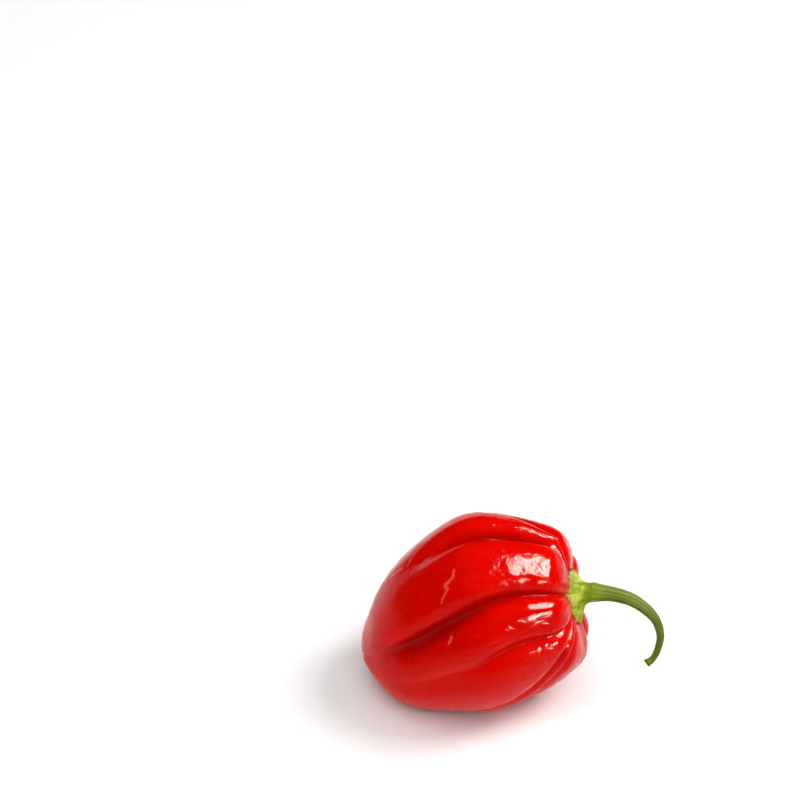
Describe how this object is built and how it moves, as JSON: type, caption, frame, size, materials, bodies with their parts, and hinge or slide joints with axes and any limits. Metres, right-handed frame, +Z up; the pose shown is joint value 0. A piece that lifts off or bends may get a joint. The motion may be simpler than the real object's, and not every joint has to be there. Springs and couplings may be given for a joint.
{
  "type": "chilli pepper",
  "caption": "Whole fresh lobed chilli pepper lying on its side, a squat red pod with a green calyx and a short curved stem.",
  "frame": {"origin": "on the surface that the pepper lies on, under the middle of its bounding box", "axes": "+X from the blossom end to the stem end, +Z up, -Y the side with the deepest valley between two lobes"},
  "size_m": [0.0605, 0.0391, 0.0383],
  "materials": {
    "pod_skin": "waxy glossy red skin",
    "calyx_skin": "satin yellow-green with a brown rim",
    "stem_skin": "satin olive green with fine ridges"
  },
  "bodies": {
    "root": {"pod": "pod_skin", "calyx": "calyx_skin", "stem": "stem_skin"}
  },
  "joints": []
}
